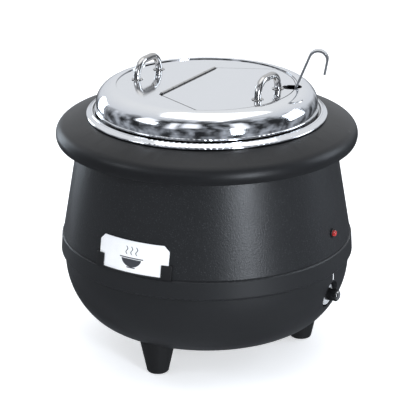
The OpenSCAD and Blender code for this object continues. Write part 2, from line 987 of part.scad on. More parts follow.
module pot_side() {
    side_z = pot_z + pot_corner_r;
    color(steel)
        rotate_extrude()
            translate([pot_r - pot_wall, side_z])
                square([pot_wall, seat_top - seat_t - side_z]);
}

module pot_rim() {
    bead_c = [rim_r - rim_bead_r, bead_z];
    ridge_c = [ridge_r, ridge_z];
    v = bead_c - ridge_c;
    n = [-v[1], v[0]] / norm(v);
    web_out = rim_bead_r - 0.2;
    web_in = web_out - 1;
    color(steel)
        rotate_extrude() {
            translate([pot_r - pot_wall, seat_top - seat_t])
                square([ridge_r - pot_r + pot_wall, seat_t]);
            translate(ridge_c) circle(r = rim_bead_r);
            translate(bead_c) circle(r = rim_bead_r);
            polygon([
                ridge_c + web_in * n, bead_c + web_in * n, bead_c + web_out * n, ridge_c + web_out * n
            ]);
        }
}

// ---- lid ----

// Flap outline grown by g: the hinge side, two spreading sides and an arc
module flap_outline(g, back) {
    x0 = -hinge_back - back;
    x1 = flap_r + g + 5;
    function half_w(x) = flap_hinge_w / 2 + (x + hinge_back) * tan(flap_splay) + g / cos(flap_splay);
    intersection() {
        circle(r = flap_r + g);
        polygon([
            [x0, -half_w(x0)], [x1, -half_w(x1)], [x1, half_w(x1)], [x0, half_w(x0)]
        ]);
    }
}

// Slot through which the ladle's handle passes, open towards the lid's edge
module ladle_slot(w) {
    in_r = cut_r - 7;
    out_r = cut_r + 6.5 - w / 2;
    rotate([0, 0, ladle_az - 90])
        linear_extrude(far) {
            translate([in_r, 0]) circle(r = w / 2);
            translate([in_r, -w / 2]) square([out_r - in_r, w]);
            translate([out_r, 0]) circle(r = w / 2);
        }
}

module lid_shell() {
    skirt_t = 1;
    step_r = panel_r - 0.9;
    color(steel)
        difference() {
            union() {
                rotate_extrude() {
                    translate(lid_bead_c) circle(r = lid_bead_r);
                    translate([skirt_r, lid_z]) square([skirt_t, lid_bead_c[1] - lid_z]);
                    translate([skirt_r, lid_bead_c[1] - 0.5]) square([lid_bead_c[0] - skirt_r, 1]);
                    translate([dome_r - lid_wall, lid_bead_c[1]])
                        square([lid_wall, shoulder_z - lid_bead_c[1]]);
                    difference() {
                        sector([panel_r, shoulder_z], shoulder_r, 0, 90);
                        translate([panel_r, shoulder_z]) circle(r = shoulder_r - lid_wall);
                    }
                    translate([step_r, panel_z]) square([panel_r - step_r, shoulder_r - lid_wall
                        + shoulder_z + lid_wall - panel_z]);
                    translate([0, panel_z]) square([step_r, lid_wall]);
                }
                translate([0, 0, panel_z - lid_wall])
                    linear_extrude(lid_wall) flap_outline(flap_gap + 1, -6);
            }
            translate([0, 0, panel_z])
                linear_extrude(far) flap_outline(flap_gap, leaf_gap);
            translate([0, 0, panel_z - far / 2])
                linear_extrude(far) {
                    flap_outline(flap_gap - ledge_w, -6 - ledge_w);
                    translate([-hinge_back - leaf_gap, -flap_hinge_w / 2])
                        square([leaf_gap + 6 + ledge_w, flap_hinge_w]);
                }
            translate([0, 0, shoulder_z]) ladle_slot(notch_w);
            for (s = [-1, 1])
                translate([lid_handle_x, s * leg_span / 2, panel_z - 1])
                    cylinder(r = stud_r + thread_gap, h = lid_wall + 2);
        }
}

module lid_flap() {
    color(steel)
        difference() {
            translate([0, 0, flap_z]) linear_extrude(lid_wall) flap_outline(0, -leaf_gap);
            translate([0, 0, shoulder_z]) ladle_slot(notch_w);
            for (s = [-1, 1])
                translate([flap_handle_x, s * leg_span / 2, panel_z - 1])
                    cylinder(r = stud_r + thread_gap, h = lid_wall + 3);
        }
}

// Hinge leaf: a strip under the sheet with every second knuckle, side s = -1 lid, 1 flap
module hinge_leaf(s, z) {
    first = s < 0 ? 0 : 1;
    color(steel)
        difference() {
            union() {
                translate([-hinge_back + (s < 0 ? -leaf_w : leaf_gap), -hinge_w / 2, z - leaf_t])
                    cube([leaf_w - leaf_gap, hinge_w, leaf_t]);
                for (i = [first : 2 : knuckles - 1])
                    translate([-hinge_back, -hinge_w / 2 + i * knuckle_w + knuckle_gap / 2, 0]) {
                        translate([0, 0, hinge_z]) rotate([-90, 0, 0])
                            cylinder(r = barrel_r, h = knuckle_w - knuckle_gap);
                        translate([s < 0 ? -leaf_gap : 0, 0, z - leaf_t])
                            cube([leaf_gap, knuckle_w - knuckle_gap, hinge_z - z]);
                    }
            }
            translate([-hinge_back, -far / 2, hinge_z]) rotate([-90, 0, 0])
                cylinder(r = pin_r + run_gap, h = far);
        }
}

module hinge_leaf_lid() {
    hinge_leaf(-1, panel_z);
}

module hinge_leaf_flap() {
    hinge_leaf(1, flap_z);
}

module hinge_pin() {
    over = 1;
    color(steel)
        translate([-hinge_back, -hinge_w / 2 - over, hinge_z]) rotate([-90, 0, 0])
            cylinder(r = pin_r, h = hinge_w + 2 * over);
}

// ---- handles ----

// Loop handle parallel to Y at x, its legs threaded below the sheet whose top is at z
module loop_handle(x, z) {
    base_z = z + washer_t;
    bend_z = base_z + leg_h;
    stud_l = washer_t + lid_wall + nut_h + 1;
    bend_y = leg_span / 2 - bend_r;
    color(steel)
        translate([x, 0, 0]) {
            for (s = [-1, 1]) {
                translate([0, s * leg_span / 2, base_z]) cylinder(d = bar_d, h = leg_h);
                translate([0, s * leg_span / 2, base_z - stud_l]) cylinder(r = stud_r, h = stud_l + 1);
                translate([0, s * bend_y, bend_z])
                    rotate([90, 0, s * 90])
                        rotate_extrude(angle = 90) translate([bend_r, 0]) circle(d = bar_d);
            }
            translate([0, -bend_y, bend_z + bend_r])
                rotate([-90, 0, 0]) cylinder(d = bar_d, h = 2 * bend_y);
        }
}

module loop_washers(x, z) {
    color(steel)
        for (s = [-1, 1]) translate([x, s * leg_span / 2, z])
            difference() {
                cylinder(r = washer_r, h = washer_t);
                translate([0, 0, -1]) cylinder(r = stud_r + thread_gap, h = washer_t + 2);
            }
}

module loop_nuts(x, z) {
    color(steel)
        for (s = [-1, 1]) translate([x, s * leg_span / 2, z - lid_wall - nut_h])
            difference() {
                cylinder(r = nut_r, h = nut_h, $fn = 6);
                translate([0, 0, -1]) cylinder(r = stud_r + thread_gap, h = nut_h + 2);
            }
}

module lid_handle() {
    loop_handle(lid_handle_x, panel_top);
}

module lid_handle_washers() {
    loop_washers(lid_handle_x, panel_top);
}

module lid_handle_nuts() {
    loop_nuts(lid_handle_x, panel_top);
}

module flap_handle() {
    loop_handle(flap_handle_x, flap_top);
}

module flap_handle_washers() {
    loop_washers(flap_handle_x, flap_top);
}

module flap_handle_nuts() {
    loop_nuts(flap_handle_x, flap_top);
}

// ---- ladle ----

// Places a piece drawn in the handle's frame: +Y along the handle, +X towards the hook
module at_handle() {
    at_az(ladle_az)
        translate([ladle_foot_u, 0, ladle_foot_z])
            rotate([90, 0, 0])
                rotate([0, 0, -ladle_lean]) children();
}

// Part of a spherical shell round the scoop's axis, between two slopes, over an angle
module scoop_shell(r, t, a0, a1, turn) {
    translate([-scoop_off, rim_drop, 0])
        rotate([-90, 0, 0])
            rotate([0, 0, -turn / 2])
                rotate_extrude(angle = turn)
                    difference() {
                        sector([0, 0], r + t, a0, a1);
                        circle(r = r);
                    }
}

module ladle_bowl() {
    color(steel)
        at_handle() scoop_shell(scoop_r - scoop_wall, scoop_wall, -90, -asin(rim_drop / scoop_r), 360);
}

module ladle_handle() {
    tongue_a = 21;
    hook_c = [hook_r, straight_l];
    end_p = hook_c + hook_r * dir(hook_a);
    color(steel)
        at_handle() {
            scoop_shell(scoop_r, tongue_t, tongue_a1, tongue_a0, tongue_a);
            translate([0, 0, -strap_w / 2])
                linear_extrude(strap_w) {
                    translate([-strap_t / 2, 0.4]) square([strap_t, straight_l - 0.4]);
                    difference() {
                        sector(hook_c, hook_r + strap_t / 2, hook_a, 180);
                        translate(hook_c) circle(r = hook_r - strap_t / 2);
                    }
                    translate(end_p) rotate(hook_a) {
                        translate([-strap_t / 2, -hook_end]) square([strap_t, hook_end]);
                        translate([-strap_t / 4, -1]) square([strap_t / 2, 2]);
                    }
                }
        }
}

rim_collar();
upper_shell();
bowl_floor();
bowl_side();
bowl_belt();
base_plate();
foot_front();
foot_right();
foot_left();
foot_screws();
tank_floor();
tank_side();
clamp_stud();
clamp_washer();
clamp_nut();
heat_spreader();
heating_element();
element_clips();
thermal_limiter();
thermostat_body();
thermostat_nut();
thermostat_bulb();
terminal_block();
wiring();
cable_gland();
gland_nut();
pilot_lamp_body();
pilot_lamp_lens();
pilot_lamp_nut();
label_holder();
label_card();
spindle();
dial_skirt();
knob();
knob_cap();
pot_floor();
pot_side();
pot_rim();
lid_shell();
hinge_leaf_lid();
hinge_pin();
lid_handle();
lid_handle_washers();
lid_handle_nuts();
lid_flap();
hinge_leaf_flap();
flap_handle();
flap_handle_washers();
flap_handle_nuts();
ladle_bowl();
ladle_handle();
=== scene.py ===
import math

import bmesh
import bpy
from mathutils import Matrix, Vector


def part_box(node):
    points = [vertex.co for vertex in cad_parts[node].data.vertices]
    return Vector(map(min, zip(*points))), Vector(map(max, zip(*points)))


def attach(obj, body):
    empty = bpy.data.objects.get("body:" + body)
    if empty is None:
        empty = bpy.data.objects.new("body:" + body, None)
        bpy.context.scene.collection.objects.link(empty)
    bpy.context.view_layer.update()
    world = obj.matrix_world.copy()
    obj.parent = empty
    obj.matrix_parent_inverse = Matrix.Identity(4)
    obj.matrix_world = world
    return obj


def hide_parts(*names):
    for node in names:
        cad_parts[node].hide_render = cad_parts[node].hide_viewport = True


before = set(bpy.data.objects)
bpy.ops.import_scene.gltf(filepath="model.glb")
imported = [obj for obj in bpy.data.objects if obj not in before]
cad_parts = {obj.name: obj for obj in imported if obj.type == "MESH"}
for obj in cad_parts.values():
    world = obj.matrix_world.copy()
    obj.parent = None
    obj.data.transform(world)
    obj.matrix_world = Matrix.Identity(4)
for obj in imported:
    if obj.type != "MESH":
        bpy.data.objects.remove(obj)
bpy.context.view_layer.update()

bl_info = {
    "name": "Soup Kettle",
    "version": (1, 0, 0),
    "blender": (4, 5, 0),
    "location": "View3D > Sidebar > Soup Kettle",
    "description": "Models and finishes an electric soup kettle on its packed frame",
    "category": "Object",
}


# ---------------------------------------------------------------- sizes taken from the frame

def node_box(name):
    low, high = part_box(name)
    return Vector(low), Vector(high)


CARD_LOW, CARD_HIGH = node_box("label_card")
DIAL_LOW, DIAL_HIGH = node_box("dial_skirt")
KNOB_LOW, KNOB_HIGH = node_box("knob")
SHAFT_Z = (DIAL_LOW.z + DIAL_HIGH.z) / 2
CARD_Z = (CARD_LOW.z + CARD_HIGH.z) / 2

# Lengths shared by the finishes, in metres
FINE_RELIEF = 0.00012   # height of a moulding's grain
HAIR_RELIEF = 0.0001    # height of hairlines and paper fibre
SEAM_SHADE_REACH = 0.005      # how far painted shade darkens the metal's colour beside joints and gaps
PRINT_EDGE = 0.00012    # softness of a printed edge


# ---------------------------------------------------------------- settings

class KettleSizes(bpy.types.PropertyGroup):
    knob_ribs: bpy.props.IntProperty(
        name="Knob ribs", description="Number of grip ribs round the knob", default=28, min=12, max=60)
    rib_depth: bpy.props.FloatProperty(
        name="Rib depth", description="Depth of the knob's ribs", default=0.00045, unit="LENGTH")
    mark_width: bpy.props.FloatProperty(
        name="Mark width", description="Width of the white index mark over the dial",
        default=0.0016, unit="LENGTH")
    mark_height: bpy.props.FloatProperty(
        name="Mark height", description="Height of the white index mark", default=0.0075, unit="LENGTH")
    print_size: bpy.props.FloatProperty(
        name="Print size", description="Radius of the bowl symbol on the label card",
        default=0.0125, unit="LENGTH")


class KettleFinish(bpy.types.PropertyGroup):
    paint: bpy.props.FloatVectorProperty(
        name="Paint", description="Colour of the powder coat", subtype="COLOR", size=3,
        default=(0.0150, 0.0156, 0.0168))
    collar: bpy.props.FloatVectorProperty(
        name="Collar", description="Colour of the moulded collar", subtype="COLOR", size=3,
        default=(0.0095, 0.0098, 0.0108))
    steel: bpy.props.FloatVectorProperty(
        name="Steel", description="Colour of the polished steel", subtype="COLOR", size=3,
        default=(0.80, 0.81, 0.83))
    card: bpy.props.FloatVectorProperty(
        name="Card", description="Colour of the label card", subtype="COLOR", size=3,
        default=(0.92, 0.92, 0.925))
    lens: bpy.props.FloatVectorProperty(
        name="Lens", description="Colour of the pilot lamp's lens", subtype="COLOR", size=3,
        default=(0.32, 0.018, 0.016))


# ---------------------------------------------------------------- node helpers

def new_group(name, inputs, outputs):
    group = bpy.data.node_groups.new(name, "ShaderNodeTree")
    for label, kind, value in inputs:
        socket = group.interface.new_socket(label, in_out="INPUT", socket_type=kind)
        if value is not None:
            socket.default_value = value
    for label, kind in outputs:
        group.interface.new_socket(label, in_out="OUTPUT", socket_type=kind)
    return group, group.nodes.new("NodeGroupInput"), group.nodes.new("NodeGroupOutput")


def add(tree, kind, links=None, **values):
    node = tree.nodes.new(kind)
    for key, value in values.items():
        setattr(node, key, value)
    for key, value in (links or {}).items():
        if isinstance(value, bpy.types.NodeSocket):
            tree.links.new(value, node.inputs[key])
        else:
            node.inputs[key].default_value = value
    return node


def math_node(tree, operation, a, b=None, c=None, clamp=False):
    node = tree.nodes.new("ShaderNodeMath")
    node.operation = operation
    node.use_clamp = clamp
    for i, value in enumerate((a, b, c)):
        if value is None:
            continue
        if isinstance(value, bpy.types.NodeSocket):
            tree.links.new(value, node.inputs[i])
        else:
            node.inputs[i].default_value = value
    return node.outputs[0]


def distance(tree, a, b):
    a2 = math_node(tree, "MULTIPLY", a, a)
    b2 = math_node(tree, "MULTIPLY", b, b)
    return math_node(tree, "SQRT", math_node(tree, "ADD", a2, b2))


def ramp(tree, factor, stops):
    node = add(tree, "ShaderNodeValToRGB", {"Fac": factor})
    node.color_ramp.elements[0].position = stops[0][0]
    node.color_ramp.elements[0].color = stops[0][1]
    node.color_ramp.elements[1].position = stops[-1][0]
    node.color_ramp.elements[1].color = stops[-1][1]
    for place, colour in stops[1:-1]:
        node.color_ramp.elements.new(place).color = colour
    return node.outputs["Color"]


def grey(v):
    return (v, v, v, 1.0)


# Orange-peel and speckle of a powder coat or a grained moulding
def grain_group():
    group, src, out = new_group(
        "Moulded grain",
        [("Vector", "NodeSocketVector", None), ("Grains", "NodeSocketFloat", 1800.0),
         ("Speckle", "NodeSocketFloat", 0.5), ("Roughness", "NodeSocketFloat", 0.4),
         ("Spread", "NodeSocketFloat", 0.08)],
        [("Height", "NodeSocketFloat"), ("Roughness", "NodeSocketFloat"), ("Fleck", "NodeSocketFloat")])
    fine = add(group, "ShaderNodeTexNoise", {
        "Vector": src.outputs["Vector"], "Scale": src.outputs["Grains"], "Detail": 3.0,
        "Roughness": 0.6})
    broad = add(group, "ShaderNodeTexNoise", {
        "Vector": src.outputs["Vector"], "Scale": 14.0, "Detail": 4.0, "Roughness": 0.55})
    spots = add(group, "ShaderNodeTexVoronoi", {
        "Vector": src.outputs["Vector"], "Scale": src.outputs["Grains"]})
    fleck = math_node(group, "LESS_THAN", spots.outputs["Distance"], 0.26)
    lit = math_node(group, "GREATER_THAN", fine.outputs["Fac"], 0.5)
    fleck = math_node(group, "MULTIPLY", fleck, lit)
    group.links.new(math_node(group, "MULTIPLY", fleck, src.outputs["Speckle"]), out.inputs["Fleck"])
    group.links.new(fine.outputs["Fac"], out.inputs["Height"])
    shift = math_node(group, "SUBTRACT", broad.outputs["Fac"], 0.5)
    shift = math_node(group, "MULTIPLY", shift, src.outputs["Spread"])
    group.links.new(math_node(group, "ADD", src.outputs["Roughness"], shift), out.inputs["Roughness"])
    return group


# Faint wipe marks, haze and hairlines of a polished sheet
def polish_group():
    group, src, out = new_group(
        "Polish haze",
        [("Vector", "NodeSocketVector", None), ("Roughness", "NodeSocketFloat", 0.05),
         ("Haze", "NodeSocketFloat", 0.06), ("Hairlines", "NodeSocketFloat", 0.4)],
        [("Roughness", "NodeSocketFloat"), ("Height", "NodeSocketFloat"), ("Tint", "NodeSocketFloat")])
    smear = add(group, "ShaderNodeTexNoise", {
        "Vector": src.outputs["Vector"], "Scale": 22.0, "Detail": 5.0, "Roughness": 0.62,
        "Distortion": 1.2})
    stretch = add(group, "ShaderNodeMapping", {
        "Vector": src.outputs["Vector"], "Scale": (1400.0, 60.0, 1400.0), "Rotation": (0.0, 0.0, 0.5)})
    lines = add(group, "ShaderNodeTexNoise", {
        "Vector": stretch.outputs["Vector"], "Scale": 1.0, "Detail": 2.0})
    mask = ramp(group, smear.outputs["Fac"], [(0.42, grey(0.0)), (0.72, grey(1.0))])
    haze = math_node(group, "MULTIPLY", mask, src.outputs["Haze"])
    group.links.new(math_node(group, "ADD", src.outputs["Roughness"], haze), out.inputs["Roughness"])
    group.links.new(
        math_node(group, "MULTIPLY", lines.outputs["Fac"], src.outputs["Hairlines"]), out.inputs["Height"])
    group.links.new(smear.outputs["Fac"], out.inputs["Tint"])
    return group


GROUPS = {}


def group_named(name):
    if name not in GROUPS:
        GROUPS[name] = {"grain": grain_group, "polish": polish_group}[name]()
    return GROUPS[name]


def base_material(name):
    material = bpy.data.materials.new(name)
    material.use_nodes = True
    tree = material.node_tree
    shader = tree.nodes["Principled BSDF"]
    place = tree.nodes.new("ShaderNodeTexCoord").outputs["Object"]
    return material, tree, shader, place


def bump(tree, shader, height, strength, distance):
    node = add(tree, "ShaderNodeBump", {"Strength": strength, "Distance": distance, "Height": height})
    tree.links.new(node.outputs["Normal"], shader.inputs["Normal"])
    return node


def use_group(tree, kind, place, **values):
    node = tree.nodes.new("ShaderNodeGroup")
    node.node_tree = group_named(kind)
    tree.links.new(place, node.inputs["Vector"])
    for key, value in values.items():
        node.inputs[key.replace("_", " ")].default_value = value
    return node


# ---------------------------------------------------------------- materials

def moulded(name, colour, roughness, grains, relief, speckle=0.0, fleck=(0.05, 0.05, 0.05),
            spread=0.08, specular=0.5, relief_depth=FINE_RELIEF):
    material, tree, shader, place = base_material(name)
    grain = use_group(tree, "grain", place, Grains=grains, Speckle=speckle, Roughness=roughness,
                      Spread=spread)
    mix = add(tree, "ShaderNodeMix", data_type="RGBA")
    tree.links.new(grain.outputs["Fleck"], mix.inputs["Factor"])
    mix.inputs["A"].default_value = (*colour, 1.0)
    mix.inputs["B"].default_value = (*fleck, 1.0)
    tree.links.new(mix.outputs["Result"], shader.inputs["Base Color"])
    tree.links.new(grain.outputs["Roughness"], shader.inputs["Roughness"])
    shader.inputs["Specular IOR Level"].default_value = specular
    bump(tree, shader, grain.outputs["Height"], relief, relief_depth)
    return material


def metal(name, colour, roughness, haze, hairlines, relief, dark):
    material, tree, shader, place = base_material(name)
    polish = use_group(tree, "polish", place, Roughness=roughness, Haze=haze, Hairlines=hairlines)
    mix = add(tree, "ShaderNodeMix", data_type="RGBA")
    tree.links.new(polish.outputs["Tint"], mix.inputs["Factor"])
    mix.inputs["A"].default_value = (*colour, 1.0)
    mix.inputs["B"].default_value = (*[c * dark for c in colour], 1.0)
    # Painted shade: ambient occlusion darkens the metal's colour in joints, gaps and crevices where shade
    # falls
    seam_shade_ao = add(tree, "ShaderNodeAmbientOcclusion", {"Distance": SEAM_SHADE_REACH}, samples=8)
    shade = ramp(tree, seam_shade_ao.outputs["AO"], [(0.25, grey(0.04)), (0.80, grey(1.0))])
    tone = add(tree, "ShaderNodeMix", data_type="RGBA", blend_type="MULTIPLY")
    tone.inputs["Factor"].default_value = 1.0
    tree.links.new(mix.outputs["Result"], tone.inputs["A"])
    tree.links.new(shade, tone.inputs["B"])
    tree.links.new(tone.outputs["Result"], shader.inputs["Base Color"])
    tree.links.new(polish.outputs["Roughness"], shader.inputs["Roughness"])
    shader.inputs["Metallic"].default_value = 1.0
    bump(tree, shader, polish.outputs["Height"], relief, HAIR_RELIEF)
    return material


def lens_material(colour):
    material, tree, shader, place = base_material("Pilot lens")
    ribs = add(tree, "ShaderNodeTexWave", {"Vector": place, "Scale": 900.0}, wave_type="RINGS",
               rings_direction="X")
    lit = [c * 1.35 for c in colour]
    tint = ramp(tree, ribs.outputs["Fac"], [(0.0, (*colour, 1.0)), (1.0, (*lit, 1.0))])
    tree.links.new(tint, shader.inputs["Base Color"])
    shader.inputs["Roughness"].default_value = 0.12
    shader.inputs["Coat Weight"].default_value = 0.6
    shader.inputs["Subsurface Weight"].default_value = 0.25
    shader.inputs["Subsurface Radius"].default_value = (0.004, 0.001, 0.001)
    bump(tree, shader, ribs.outputs["Fac"], 0.2, 0.0002)
    return material


# Card with a plain bowl symbol and three steam lines, drawn over X and Z
def card_material(colour, size):
    material, tree, shader, place = base_material("Label card")
    split = add(tree, "ShaderNodeSeparateXYZ", {"Vector": place})
    x = split.outputs["X"]
    z = math_node(tree, "SUBTRACT", split.outputs["Z"], CARD_Z - 0.1 * size)
    line_half = 0.0006
    steam_half = 0.00055
    steam_sway = 0.0010
    steam_waves = 820.0

    def inside(value, limit):
        past = math_node(tree, "SUBTRACT", limit, value)
        return math_node(tree, "MULTIPLY_ADD", past, 1 / PRINT_EDGE, 0.5, clamp=True)

    def both(a, b):
        return math_node(tree, "MULTIPLY", a, b)

    def box_mask(cx, cz, hx, hz):
        dx = math_node(tree, "ABSOLUTE", math_node(tree, "SUBTRACT", x, cx))
        dz = math_node(tree, "ABSOLUTE", math_node(tree, "SUBTRACT", z, cz))
        return both(inside(dx, hx), inside(dz, hz))

    squash = math_node(tree, "MULTIPLY", z, 1.25)
    reach = distance(tree, x, squash)
    shape = both(inside(reach, size), inside(z, -2 * line_half))
    shape = math_node(tree, "MAXIMUM", shape, box_mask(0.0, 0.0, size * 1.18, line_half))
    shape = math_node(tree, "MAXIMUM", shape, box_mask(0.0, -size * 0.84, size * 0.42, line_half))
    wave = math_node(tree, "SINE", math_node(tree, "MULTIPLY", z, steam_waves))
    bent_x = math_node(tree, "SUBTRACT", x, math_node(tree, "MULTIPLY", wave, steam_sway))
    tall = math_node(tree, "ABSOLUTE", math_node(tree, "SUBTRACT", z, size * 0.62))
    for i in (-1, 0, 1):
        off = math_node(tree, "ABSOLUTE", math_node(tree, "SUBTRACT", bent_x, i * size * 0.5))
        steam = both(inside(off, steam_half), inside(tall, size * 0.36))
        shape = math_node(tree, "MAXIMUM", shape, steam)
    fibre = add(tree, "ShaderNodeTexNoise", {"Vector": place, "Scale": 900.0, "Detail": 4.0})
    shade = [c * 0.95 for c in colour]
    paper = ramp(tree, fibre.outputs["Fac"], [(0.3, (*shade, 1.0)), (0.7, (*colour, 1.0))])
    mix = add(tree, "ShaderNodeMix", data_type="RGBA")
    tree.links.new(shape, mix.inputs["Factor"])
    tree.links.new(paper, mix.inputs["A"])
    mix.inputs["B"].default_value = (0.045, 0.048, 0.055, 1.0)
    tree.links.new(mix.outputs["Result"], shader.inputs["Base Color"])
    shader.inputs["Roughness"].default_value = 0.32
    bump(tree, shader, fibre.outputs["Fac"], 0.05, HAIR_RELIEF)
    return material


# Satin dial with dark graduation ticks round its rim
def dial_material():
    material, tree, shader, place = base_material("Graduated dial")
    split = add(tree, "ShaderNodeSeparateXYZ", {"Vector": place})
    dy = split.outputs["Y"]
    dz = math_node(tree, "SUBTRACT", split.outputs["Z"], SHAFT_Z)
    turn = math_node(tree, "ARCTAN2", dy, dz)
    reach = distance(tree, dy, dz)
    rim = (DIAL_HIGH.z - DIAL_LOW.z) / 2
    shape = None
    # each row of ticks: how many, inner end as a share of the rim, half width
    for count, low, half in ((36, 0.86, 0.00022), (12, 0.78, 0.0004)):
        phase = math_node(tree, "FRACT", math_node(tree, "MULTIPLY_ADD", turn, count / (2 * math.pi), 0.5))
        off = math_node(tree, "ABSOLUTE", math_node(tree, "SUBTRACT", phase, 0.5))
        arc = math_node(tree, "MULTIPLY", math_node(tree, "MULTIPLY", off, 2 * math.pi / count), reach)
        line = math_node(tree, "LESS_THAN", arc, half)
        line = math_node(tree, "MULTIPLY", line, math_node(tree, "GREATER_THAN", reach, rim * low))
        line = math_node(tree, "MULTIPLY", line, math_node(tree, "LESS_THAN", reach, rim * 0.96))
        shape = line if shape is None else math_node(tree, "MAXIMUM", shape, line)
    gap = math_node(tree, "GREATER_THAN", math_node(tree, "ABSOLUTE", turn), math.radians(150))
    shape = math_node(tree, "MULTIPLY", shape, math_node(tree, "SUBTRACT", 1.0, gap))
    mix = add(tree, "ShaderNodeMix", data_type="RGBA")
    tree.links.new(shape, mix.inputs["Factor"])
    mix.inputs["A"].default_value = (0.70, 0.71, 0.72, 1.0)
    mix.inputs["B"].default_value = (0.02, 0.02, 0.022, 1.0)
    tree.links.new(mix.outputs["Result"], shader.inputs["Base Color"])
    tree.links.new(math_node(tree, "SUBTRACT", 0.35, shape, clamp=True), shader.inputs["Metallic"])
    polish = use_group(tree, "polish", place, Roughness=0.26, Haze=0.05, Hairlines=0.6)
    tree.links.new(polish.outputs["Roughness"], shader.inputs["Roughness"])
    bump(tree, shader, polish.outputs["Height"], 0.08, HAIR_RELIEF)
    return material


MATERIALS = {}


def finish_mouldings(paint, collar):
    # colour, roughness, grains per metre, relief, share and colour of the flecks
    m = MATERIALS
    m["paint"] = moulded("Powder coat", paint, 0.34, 560.0, 1.0, 0.7, (0.050, 0.051, 0.055),
                         specular=0.36, relief_depth=0.00022)
    m["bowl"] = moulded("Bowl coat", paint, 0.42, 900.0, 0.6, 0.4, (0.030, 0.032, 0.036),
                        specular=0.34)
    m["collar"] = moulded("Collar moulding", collar, 0.38, 1100.0, 0.5, 0.3, (0.030, 0.031, 0.034),
                          spread=0.06, specular=0.26)
    m["black"] = moulded("Black moulding", (0.007, 0.007, 0.0075), 0.5, 1500.0, 0.15)
    m["foot"] = moulded("Foot moulding", (0.006, 0.006, 0.0063), 0.55, 1300.0, 0.25)
    m["knob"] = moulded("Knob moulding", (0.006, 0.006, 0.0065), 0.28, 2000.0, 0.05)
    m["ceramic"] = moulded("Pale ceramic", (0.62, 0.58, 0.50), 0.6, 1200.0, 0.2, 0.2, (0.5, 0.46, 0.4))
    m["grey"] = moulded("Grey moulding", (0.25, 0.25, 0.26), 0.45, 1600.0, 0.12)
    m["lead"] = moulded("Lead sleeve", (0.30, 0.05, 0.04), 0.5, 1400.0, 0.15, 0.1, (0.4, 0.1, 0.1))
    m["mark"] = moulded("Index paint", (0.80, 0.80, 0.80), 0.4, 2600.0, 0.05)


def finish_metals(steel):
    # colour, roughness, haze, hairlines, relief, brightness left in the smears
    m = MATERIALS
    m["steel"] = metal("Polished steel", steel, 0.075, 0.04, 0.25, 0.02, 0.96)
    m["bar"] = metal("Handle steel", (0.52, 0.51, 0.50), 0.09, 0.05, 0.3, 0.03, 0.9)
    m["strap"] = metal("Ladle steel", (0.80, 0.81, 0.82), 0.22, 0.08, 0.5, 0.06, 0.9)
    m["pot"] = metal("Pot steel", steel, 0.07, 0.08, 0.5, 0.04, 0.95)
    m["plain"] = metal("Plain steel", (0.55, 0.56, 0.57), 0.28, 0.12, 0.8, 0.15, 0.85)
    m["aluminium"] = metal("Mill aluminium", (0.72, 0.73, 0.74), 0.38, 0.12, 1.0, 0.2, 0.88)
    m["heater"] = metal("Heater sheath", (0.22, 0.20, 0.18), 0.45, 0.15, 0.8, 0.2, 0.6)
    m["copper"] = metal("Copper bulb", (0.72, 0.38, 0.24), 0.3, 0.12, 0.6, 0.1, 0.8)


NODE_FINISH = {
    "paint": ("upper_shell",),
    "bowl": ("bowl_floor", "bowl_side", "bowl_belt", "base_plate"),
    "collar": ("rim_collar",),
    "black": ("label_holder", "cable_gland", "gland_nut", "pilot_lamp_body"),
    "foot": ("foot_front", "foot_right", "foot_left"),
    "knob": ("knob",),
    "steel": ("lid_shell", "lid_flap", "knob_cap"),
    "bar": ("hinge_leaf_lid", "hinge_leaf_flap", "hinge_pin", "lid_handle", "lid_handle_washers",
            "lid_handle_nuts", "flap_handle", "flap_handle_washers", "flap_handle_nuts"),
    "strap": ("ladle_bowl", "ladle_handle"),
    "pot": ("pot_floor", "pot_side", "pot_rim"),
    "plain": ("tank_floor", "tank_side", "clamp_stud", "clamp_washer", "clamp_nut", "foot_screws",
              "thermostat_nut", "pilot_lamp_nut", "spindle"),
    "aluminium": ("heat_spreader", "element_clips"),
    "heater": ("heating_element",),
    "copper": ("thermostat_bulb",),
    "ceramic": ("thermal_limiter", "terminal_block"),
    "grey": ("thermostat_body",),
    "lead": ("wiring",),
    "lens": ("pilot_lamp_lens",),
    "card": ("label_card",),
    "dial": ("dial_skirt",),
}


# ---------------------------------------------------------------- modelling helpers

def deselect():
    if bpy.context.object and bpy.context.object.mode != "OBJECT":
        bpy.ops.object.mode_set(mode="OBJECT")
    bpy.ops.object.select_all(action="DESELECT")


def activate(obj):
    deselect()
    obj.select_set(True)
    bpy.context.view_layer.objects.active = obj


def settle(obj):
    activate(obj)
    bpy.ops.object.transform_apply(location=True, rotation=True, scale=True)


def apply_all(obj):
    activate(obj)
    for modifier in list(obj.modifiers):
        bpy.ops.object.modifier_apply(modifier=modifier.name)


def smooth(obj, degrees=35):
    activate(obj)
    bpy.ops.object.shade_smooth_by_angle(angle=math.radians(degrees))


def set_material(obj, material):
    obj.data.materials.clear()
    obj.data.materials.append(material)


def pick(obj, test):
    """Selects the faces that pass the test, in edit mode."""
    bpy.ops.object.mode_set(mode="EDIT")
    bpy.ops.mesh.select_mode(type="FACE")
    bpy.ops.mesh.select_all(action="DESELECT")
    mesh = bmesh.from_edit_mesh(obj.data)
    for face in mesh.faces:
        face.select = test(face)
    bmesh.update_edit_mesh(obj.data)


# ---------------------------------------------------------------- pieces

class KETTLE_OT_finishes(bpy.types.Operator):
    """Makes the finishes and gives each fixed piece its own"""
    bl_idname = "kettle.finishes"
    bl_label = "Finishes"

    def execute(self, context):
        finish = context.scene.kettle_finish
        finish_mouldings(tuple(finish.paint), tuple(finish.collar))
        finish_metals(tuple(finish.steel))
        MATERIALS["lens"] = lens_material(tuple(finish.lens))
        MATERIALS["card"] = card_material(tuple(finish.card), context.scene.kettle_sizes.print_size)
        MATERIALS["dial"] = dial_material()
        for key, nodes in NODE_FINISH.items():
            for name in nodes:
                set_material(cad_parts[name], MATERIALS[key])
        return {"FINISHED"}


